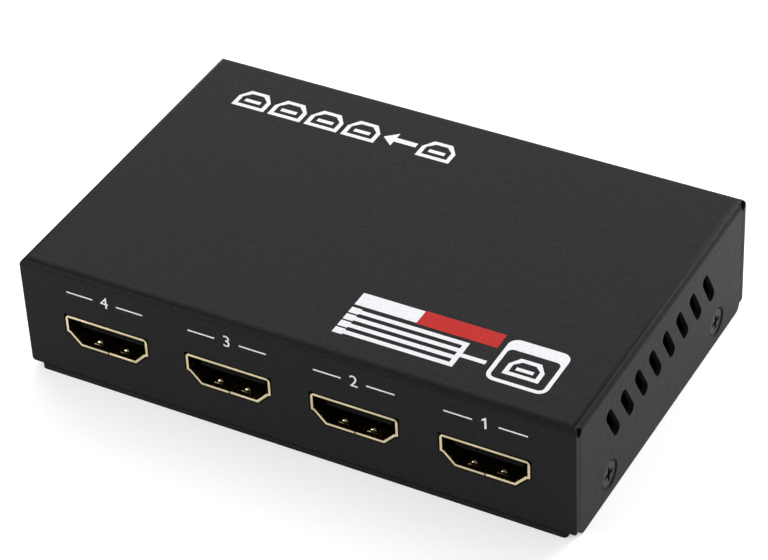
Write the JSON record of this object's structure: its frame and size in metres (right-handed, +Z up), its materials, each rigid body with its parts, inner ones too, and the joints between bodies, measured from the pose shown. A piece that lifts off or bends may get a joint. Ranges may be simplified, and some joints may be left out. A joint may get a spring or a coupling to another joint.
{
  "type": "hdmi splitter",
  "caption": "Flat black steel box that copies one video input to a row of output sockets, with vented sides, a folded cover and a supply jack on the back.",
  "frame": {"origin": "middle of the underside, below the middle of the whole box", "axes": "+Z up; the panel with the four output sockets faces -Y; +X runs along the row of sockets towards output 1"},
  "size_m": [0.095, 0.0618, 0.0214],
  "materials": {
    "cover_paint": "matt textured black powder coat",
    "base_paint": "matt textured black powder coat",
    "black_screw": "black zinc plating, semi-gloss",
    "board_laminate": "green solder mask over glass laminate",
    "standoff_brass": "plain turned brass",
    "zinc_screw": "bright zinc plating",
    "jack_plastic": "moulded black",
    "jack_nickel": "nickel plating",
    "lamp_plastic": "clear diffused resin",
    "tinned_lead": "tin plating",
    "chip_plastic": "moulded black epoxy",
    "sink_aluminium": "extruded, plain",
    "inductor_ferrite": "pressed ferrite",
    "tantalum_moulding": "moulded ochre epoxy",
    "crystal_can": "plated lid",
    "capacitor_ceramic": "sintered, tan",
    "resistor_ceramic": "glazed black",
    "socket_gold": "gold flash over folded sheet, bright",
    "socket_plastic": "moulded black",
    "contact_gold": "gold flash"
  },
  "bodies": {
    "root": {"top_cover": "cover_paint", "bottom_plate": "base_paint", "case_screws": "black_screw", "circuit_board": "board_laminate", "board_standoffs": "standoff_brass", "board_screws": "zinc_screw", "dc_jack_housing": "jack_plastic", "dc_jack_pin": "jack_nickel", "dc_jack_spring": "jack_nickel", "dc_jack_switch": "jack_nickel", "status_leds": "lamp_plastic", "status_led_leads": "tinned_lead", "splitter_chip_body": "chip_plastic", "splitter_chip_leads": "tinned_lead", "heat_sink": "sink_aluminium", "small_chip_bodies": "chip_plastic", "small_chip_leads": "tinned_lead", "regulator_bodies": "chip_plastic", "regulator_tabs": "tinned_lead", "power_inductors": "inductor_ferrite", "filter_capacitors": "tantalum_moulding", "clock_crystal": "crystal_can", "chip_capacitors": "capacitor_ceramic", "chip_resistors": "resistor_ceramic", "output_4_shell": "socket_gold", "output_4_insulator": "socket_plastic", "output_4_contacts": "contact_gold", "output_3_shell": "socket_gold", "output_3_insulator": "socket_plastic", "output_3_contacts": "contact_gold", "output_2_shell": "socket_gold", "output_2_insulator": "socket_plastic", "output_2_contacts": "contact_gold", "output_1_shell": "socket_gold", "output_1_insulator": "socket_plastic", "output_1_contacts": "contact_gold", "input_shell": "socket_gold", "input_insulator": "socket_plastic", "input_contacts": "contact_gold"}
  },
  "joints": []
}
